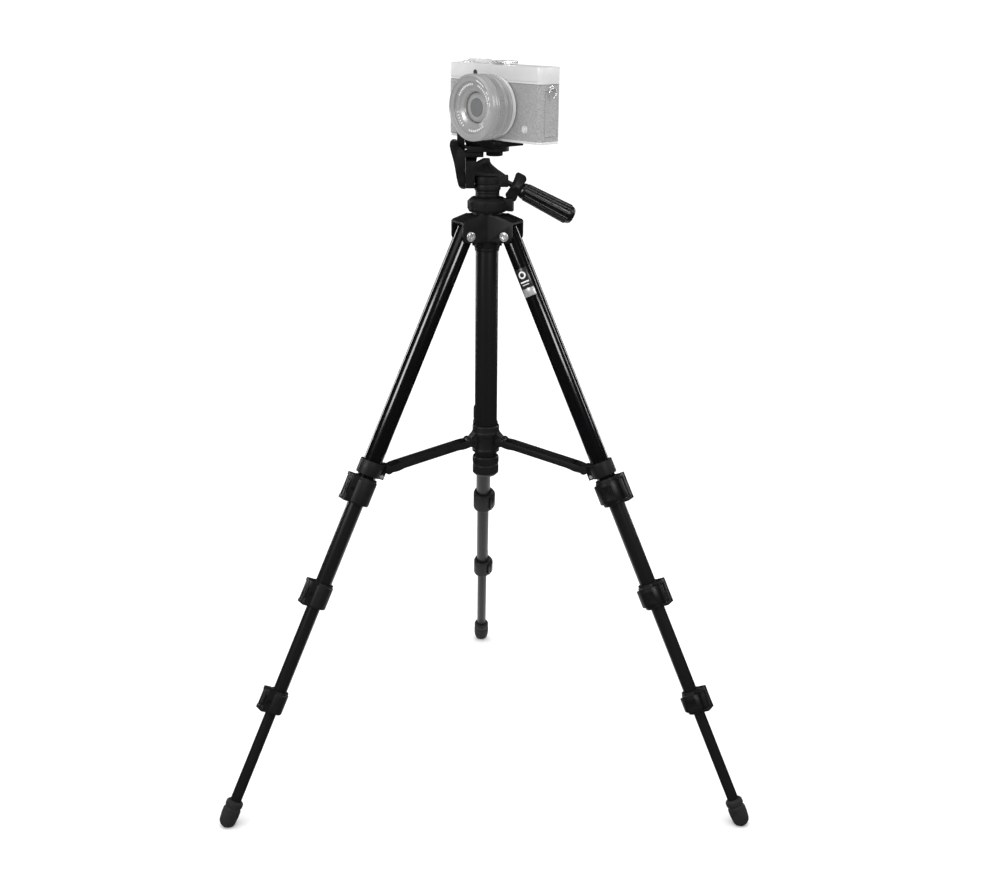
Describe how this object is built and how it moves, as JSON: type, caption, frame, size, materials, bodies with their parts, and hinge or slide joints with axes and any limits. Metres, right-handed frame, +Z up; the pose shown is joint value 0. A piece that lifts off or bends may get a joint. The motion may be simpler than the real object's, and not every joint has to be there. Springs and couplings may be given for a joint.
{
  "type": "compact camera on photo tripod",
  "caption": "Compact mirrorless camera on a folding telescopic photo tripod with mid-level brace, flip locks, sliding column and pan-and-tilt head.",
  "frame": {"origin": "on the ground, under the middle of the bounding box", "axes": "+Z up along the centre column, -Y towards the two front legs, the rear leg along +Y"},
  "size_m": [0.5254, 0.4574, 0.7308],
  "materials": {
    "upper_tube": "gloss black anodised",
    "lower_tube": "satin black anodised",
    "foot_rubber": "matte",
    "bright_metal": "polished",
    "grip_rubber": "matte",
    "silver_top": "satin silver",
    "camera_skin": "grained grey",
    "lens_metal": "satin grey",
    "lens_glass": "coated",
    "screen": "gloss",
    "black_plastic": "matte"
  },
  "bodies": {
    "frame": {"hub": "black_plastic", "centre_sleeve": "upper_tube", "sleeve_cap": "black_plastic", "pivot_bolt_left": "bright_metal", "pivot_bolt_right": "bright_metal", "pivot_bolt_rear": "bright_metal"},
    "leg_left": {"tube_1_left": "upper_tube", "brace_clamp_left": "black_plastic"},
    "section_2_left": {"tube_2_left": "lower_tube"},
    "section_3_left": {"tube_3_left": "lower_tube"},
    "section_4_left": {"tube_4_left": "lower_tube", "foot_left": "foot_rubber"},
    "arm_left": {"brace_arm_left": "black_plastic"},
    "flip_lock_1_left": {"lever_1_left": "black_plastic"},
    "flip_lock_2_left": {"lever_2_left": "black_plastic"},
    "flip_lock_3_left": {"lever_3_left": "black_plastic"},
    "leg_right": {"tube_1_right": "upper_tube", "brace_clamp_right": "black_plastic"},
    "section_2_right": {"tube_2_right": "lower_tube"},
    "section_3_right": {"tube_3_right": "lower_tube"},
    "section_4_right": {"tube_4_right": "lower_tube", "foot_right": "foot_rubber"},
    "arm_right": {"brace_arm_right": "black_plastic"},
    "flip_lock_1_right": {"lever_1_right": "black_plastic"},
    "flip_lock_2_right": {"lever_2_right": "black_plastic"},
    "flip_lock_3_right": {"lever_3_right": "black_plastic"},
    "leg_rear": {"tube_1_rear": "upper_tube", "brace_clamp_rear": "black_plastic"},
    "section_2_rear": {"tube_2_rear": "lower_tube"},
    "section_3_rear": {"tube_3_rear": "lower_tube"},
    "section_4_rear": {"tube_4_rear": "lower_tube", "foot_rear": "foot_rubber"},
    "arm_rear": {"brace_arm_rear": "black_plastic"},
    "flip_lock_1_rear": {"lever_1_rear": "black_plastic"},
    "flip_lock_2_rear": {"lever_2_rear": "black_plastic"},
    "flip_lock_3_rear": {"lever_3_rear": "black_plastic"},
    "brace_collar": {"brace_collar": "black_plastic"},
    "centre_column": {"centre_column": "lower_tube", "head_base": "black_plastic"},
    "column_lock_ring": {"column_lock_ring": "black_plastic"},
    "pan": {"pan_body": "black_plastic"},
    "tilt": {"tilt_bracket": "black_plastic"},
    "platform": {"platform": "black_plastic", "quick_release_plate": "grip_rubber", "camera_shell": "camera_skin", "top_plate": "silver_top", "lens_mount": "silver_top", "lens_barrel": "lens_metal", "front_glass": "lens_glass", "hot_shoe": "bright_metal", "rear_screen": "screen"},
    "camera_screw": {"camera_screw": "black_plastic"},
    "handle": {"handle_rod": "bright_metal", "handle_grip": "grip_rubber"},
    "wing_knob": {"wing_knob": "black_plastic"},
    "aperture_ring": {"aperture_ring": "lens_metal"},
    "focus_ring": {"focus_ring": "lens_metal"},
    "shutter_button": {"shutter_button": "bright_metal"},
    "shutter_dial": {"shutter_dial": "silver_top"},
    "exposure_dial": {"exposure_dial": "silver_top"}
  },
  "joints": [
    {"name": "leg_fold_left", "type": "hinge", "parent": "frame", "child": "leg_left", "pos_m": [-0.02252, -0.08656, 0.5666], "axis": [0.5, -0.866, 0], "range_deg": [0, 8]},
    {"name": "section_2_slide_left", "type": "slide", "parent": "leg_left", "child": "section_2_left", "axis": [-0.3737, -0.2157, -0.9021], "range_m": [-0.078, 0.11]},
    {"name": "section_3_slide_left", "type": "slide", "parent": "section_2_left", "child": "section_3_left", "axis": [-0.3737, -0.2157, -0.9021], "range_m": [-0.084, 0.11]},
    {"name": "section_4_slide_left", "type": "slide", "parent": "section_3_left", "child": "section_4_left", "axis": [-0.3737, -0.2157, -0.9021], "range_m": [-0.094, 0.12]},
    {"name": "lock_1_open_left", "type": "hinge", "parent": "leg_left", "child": "flip_lock_1_left", "pos_m": [-0.13663, -0.14759, 0.33116], "axis": [0.3737, 0.2157, 0.9021], "range_deg": [0, 110]},
    {"name": "lock_2_open_left", "type": "hinge", "parent": "section_2_left", "child": "flip_lock_2_left", "pos_m": [-0.17709, -0.17095, 0.23047], "axis": [0.3737, 0.2157, 0.9021], "range_deg": [0, 110]},
    {"name": "lock_3_open_left", "type": "hinge", "parent": "section_3_left", "child": "flip_lock_3_left", "pos_m": [-0.21884, -0.19505, 0.12688], "axis": [0.3737, 0.2157, 0.9021], "range_deg": [0, 110]},
    {"name": "leg_fold_right", "type": "hinge", "parent": "frame", "child": "leg_right", "pos_m": [0.02252, -0.08656, 0.5666], "axis": [0.5, 0.866, 0], "range_deg": [0, 8]},
    {"name": "section_2_slide_right", "type": "slide", "parent": "leg_right", "child": "section_2_right", "axis": [0.3737, -0.2157, -0.9021], "range_m": [-0.078, 0.11]},
    {"name": "section_3_slide_right", "type": "slide", "parent": "section_2_right", "child": "section_3_right", "axis": [0.3737, -0.2157, -0.9021], "range_m": [-0.084, 0.11]},
    {"name": "section_4_slide_right", "type": "slide", "parent": "section_3_right", "child": "section_4_right", "axis": [0.3737, -0.2157, -0.9021], "range_m": [-0.094, 0.12]},
    {"name": "lock_1_open_right", "type": "hinge", "parent": "leg_right", "child": "flip_lock_1_right", "pos_m": [0.13243, -0.15486, 0.33116], "axis": [-0.3737, 0.2157, 0.9021], "range_deg": [0, 110]},
    {"name": "lock_2_open_right", "type": "hinge", "parent": "section_2_right", "child": "flip_lock_2_right", "pos_m": [0.17289, -0.17822, 0.23047], "axis": [-0.3737, 0.2157, 0.9021], "range_deg": [0, 110]},
    {"name": "lock_3_open_right", "type": "hinge", "parent": "section_3_right", "child": "flip_lock_3_right", "pos_m": [0.21464, -0.20233, 0.12688], "axis": [-0.3737, 0.2157, 0.9021], "range_deg": [0, 110]},
    {"name": "leg_fold_rear", "type": "hinge", "parent": "frame", "child": "leg_rear", "pos_m": [0, -0.04756, 0.5666], "axis": [-1, 0, 0], "range_deg": [0, 8]},
    {"name": "section_2_slide_rear", "type": "slide", "parent": "leg_rear", "child": "section_2_rear", "axis": [0, 0.4315, -0.9021], "range_m": [-0.078, 0.11]},
    {"name": "section_3_slide_rear", "type": "slide", "parent": "section_2_rear", "child": "section_3_rear", "axis": [0, 0.4315, -0.9021], "range_m": [-0.084, 0.11]},
    {"name": "section_4_slide_rear", "type": "slide", "parent": "section_3_rear", "child": "section_4_rear", "axis": [0, 0.4315, -0.9021], "range_m": [-0.094, 0.12]},
    {"name": "lock_1_open_rear", "type": "hinge", "parent": "leg_rear", "child": "flip_lock_1_rear", "pos_m": [0.0042, 0.08178, 0.33116], "axis": [0, -0.4315, 0.9021], "range_deg": [0, 110]},
    {"name": "lock_2_open_rear", "type": "hinge", "parent": "section_2_rear", "child": "flip_lock_2_rear", "pos_m": [0.0042, 0.1285, 0.23047], "axis": [0, -0.4315, 0.9021], "range_deg": [0, 110]},
    {"name": "lock_3_open_rear", "type": "hinge", "parent": "section_3_rear", "child": "flip_lock_3_rear", "pos_m": [0.0042, 0.17671, 0.12688], "axis": [0, -0.4315, 0.9021], "range_deg": [0, 110]},
    {"name": "collar_slide", "type": "slide", "parent": "frame", "child": "brace_collar", "axis": [0, 0, 1], "range_m": [0, 0.05]},
    {"name": "arm_hinge_left", "type": "hinge", "parent": "brace_collar", "child": "arm_left", "pos_m": [-0.01645, -0.08306, 0.356], "axis": [0.5, -0.866, 0], "range_deg": [0, 45.5]},
    {"name": "arm_hinge_right", "type": "hinge", "parent": "brace_collar", "child": "arm_right", "pos_m": [0.01645, -0.08306, 0.356], "axis": [0.5, 0.866, 0], "range_deg": [0, 45.5]},
    {"name": "arm_hinge_rear", "type": "hinge", "parent": "brace_collar", "child": "arm_rear", "pos_m": [0, -0.05456, 0.356], "axis": [-1, 0, 0], "range_deg": [0, 45.5]},
    {"name": "column_slide", "type": "slide", "parent": "frame", "child": "centre_column", "axis": [0, 0, 1], "range_m": [0, 0.2]},
    {"name": "column_lock_turn", "type": "hinge", "parent": "frame", "child": "column_lock_ring", "pos_m": [0, -0.07356, 0.594], "axis": [0, 0, 1], "range_deg": [0, 90]},
    {"name": "pan", "type": "hinge", "parent": "centre_column", "child": "pan", "pos_m": [0, -0.07356, 0.608], "axis": [0, 0, 1], "range_deg": [-180, 180]},
    {"name": "tilt", "type": "hinge", "parent": "pan", "child": "tilt", "pos_m": [-0.0214, -0.07356, 0.618], "axis": [1, 0, 0], "range_deg": [-60, 80]},
    {"name": "portrait_flip", "type": "hinge", "parent": "tilt", "child": "platform", "pos_m": [-0.0324, -0.07356, 0.6516], "axis": [0, -1, 0], "range_deg": [0, 90]},
    {"name": "camera_screw_turn", "type": "hinge", "parent": "platform", "child": "camera_screw", "pos_m": [0.0065, -0.07356, 0.644], "axis": [0, 0, 1], "range_deg": [-360, 360]},
    {"name": "handle_twist", "type": "hinge", "parent": "pan", "child": "handle", "pos_m": [0.03282, -0.07356, 0.60872], "axis": [0.891, 0, -0.454], "range_deg": [-360, 360]},
    {"name": "wing_knob_turn", "type": "hinge", "parent": "pan", "child": "wing_knob", "pos_m": [0.03282, -0.07356, 0.60872], "axis": [0.891, 0, -0.454], "range_deg": [-30, 90]},
    {"name": "aperture_ring_turn", "type": "hinge", "parent": "platform", "child": "aperture_ring", "pos_m": [-0.00222, -0.10134, 0.6893], "axis": [-0.7431, -0.6691, 0], "range_deg": [0, 60]},
    {"name": "focus_ring_turn", "type": "hinge", "parent": "platform", "child": "focus_ring", "pos_m": [-0.00222, -0.10134, 0.6893], "axis": [-0.7431, -0.6691, 0], "range_deg": [0, 120]},
    {"name": "shutter_press", "type": "slide", "parent": "platform", "child": "shutter_button", "axis": [0, 0, -1], "range_m": [0, 0.0011], "stiffness_N_per_m": 400, "springref_m": -0.0005},
    {"name": "shutter_dial_turn", "type": "hinge", "parent": "platform", "child": "shutter_dial", "pos_m": [-0.00409, -0.05592, 0.728], "axis": [0, 0, 1], "range_deg": [-180, 150]},
    {"name": "exposure_dial_turn", "type": "hinge", "parent": "platform", "child": "exposure_dial", "pos_m": [-0.01413, -0.03805, 0.728], "axis": [0, 0, 1], "range_deg": [-90, 90]}
  ],
  "couplings": [
    {"joint": "arm_hinge_left", "follows": "leg_fold_left", "ratio": 5.649},
    {"joint": "arm_hinge_right", "follows": "leg_fold_left", "ratio": 5.649},
    {"joint": "arm_hinge_rear", "follows": "leg_fold_left", "ratio": 5.649},
    {"joint": "leg_fold_right", "follows": "leg_fold_left", "ratio": 1},
    {"joint": "leg_fold_rear", "follows": "leg_fold_left", "ratio": 1},
    {"joint": "collar_slide", "follows": "leg_fold_left", "m_per_rad": 0.35558}
  ]
}
